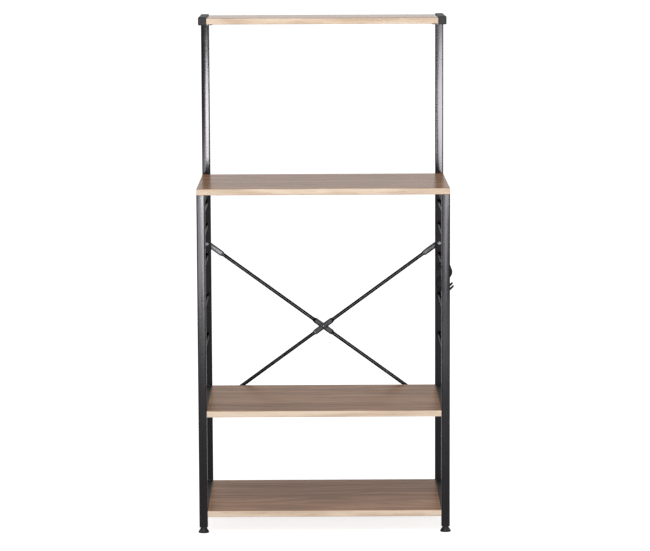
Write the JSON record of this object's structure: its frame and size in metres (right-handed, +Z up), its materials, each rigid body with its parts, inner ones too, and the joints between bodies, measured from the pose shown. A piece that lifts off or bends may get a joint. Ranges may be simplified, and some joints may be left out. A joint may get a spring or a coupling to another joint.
{
  "type": "bakers rack",
  "caption": "Black square-tube baker's rack with oak-grain boards, crossed rear brace, side rungs with S hooks and screw feet.",
  "frame": {"origin": "on the floor, midway between the posts", "axes": "+X the rack's right seen from the front, +Y its rear, +Z up"},
  "size_m": [0.6157, 0.4117, 1.225],
  "materials": {
    "frame_steel": "black powder coat, semi-gloss",
    "board": "greyed oak grain laminate, satin",
    "black_plastic": "moulded, matt",
    "fastener_steel": "black zinc plated",
    "hook_steel": "black coated wire"
  },
  "bodies": {
    "rack": {"left_front_post": "frame_steel", "left_rear_post": "frame_steel", "left_counter_rail": "frame_steel", "left_middle_rail": "frame_steel", "left_base_rail": "frame_steel", "left_top_rail": "frame_steel", "left_first_rung": "frame_steel", "left_second_rung": "frame_steel", "left_third_rung": "frame_steel", "left_fourth_rung": "frame_steel", "left_fifth_rung": "frame_steel", "right_front_post": "frame_steel", "right_rear_post": "frame_steel", "right_counter_rail": "frame_steel", "right_middle_rail": "frame_steel", "right_base_rail": "frame_steel", "right_top_rail": "frame_steel", "right_first_rung": "frame_steel", "right_second_rung": "frame_steel", "right_third_rung": "frame_steel", "right_fourth_rung": "frame_steel", "right_fifth_rung": "frame_steel", "brace_rising_right": "frame_steel", "brace_rising_left": "frame_steel", "top_tabs": "frame_steel", "middle_tabs": "frame_steel", "base_tabs": "frame_steel", "top_board": "board", "counter_board": "board", "middle_board": "board", "base_board": "board", "left_top_rail_front_cap": "black_plastic", "left_top_rail_rear_cap": "black_plastic", "right_top_rail_front_cap": "black_plastic", "right_top_rail_rear_cap": "black_plastic", "front_left_post_plug": "black_plastic", "rear_left_post_plug": "black_plastic", "front_right_post_plug": "black_plastic", "rear_right_post_plug": "black_plastic", "brace_bolts": "fastener_steel", "brace_nuts": "fastener_steel", "brace_rivet": "fastener_steel", "top_screws": "fastener_steel", "counter_screws": "fastener_steel", "middle_screws": "fastener_steel", "base_screws": "fastener_steel"},
    "front_left_leveller": {"front_left_foot": "black_plastic", "front_left_foot_stud": "fastener_steel"},
    "rear_left_leveller": {"rear_left_foot": "black_plastic", "rear_left_foot_stud": "fastener_steel"},
    "front_right_leveller": {"front_right_foot": "black_plastic", "front_right_foot_stud": "fastener_steel"},
    "rear_right_leveller": {"rear_right_foot": "black_plastic", "rear_right_foot_stud": "fastener_steel"},
    "front_hook": {"front_s_hook": "hook_steel"},
    "rear_hook": {"rear_s_hook": "hook_steel"}
  },
  "joints": [
    {"name": "front_left_foot_screw", "type": "slide", "parent": "rack", "child": "front_left_leveller", "axis": [0, 0, -1], "range_m": [0, 0.012]},
    {"name": "rear_left_foot_screw", "type": "slide", "parent": "rack", "child": "rear_left_leveller", "axis": [0, 0, -1], "range_m": [0, 0.012]},
    {"name": "front_right_foot_screw", "type": "slide", "parent": "rack", "child": "front_right_leveller", "axis": [0, 0, -1], "range_m": [0, 0.012]},
    {"name": "rear_right_foot_screw", "type": "slide", "parent": "rack", "child": "rear_right_leveller", "axis": [0, 0, -1], "range_m": [0, 0.012]},
    {"name": "front_hook_swing", "type": "hinge", "parent": "rack", "child": "front_hook", "pos_m": [0.29, -0.12, 0.627], "axis": [0, 1, 0], "range_deg": [-60, 60]},
    {"name": "rear_hook_swing", "type": "hinge", "parent": "rack", "child": "rear_hook", "pos_m": [0.29, -0.065, 0.627], "axis": [0, 1, 0], "range_deg": [-60, 60]}
  ]
}
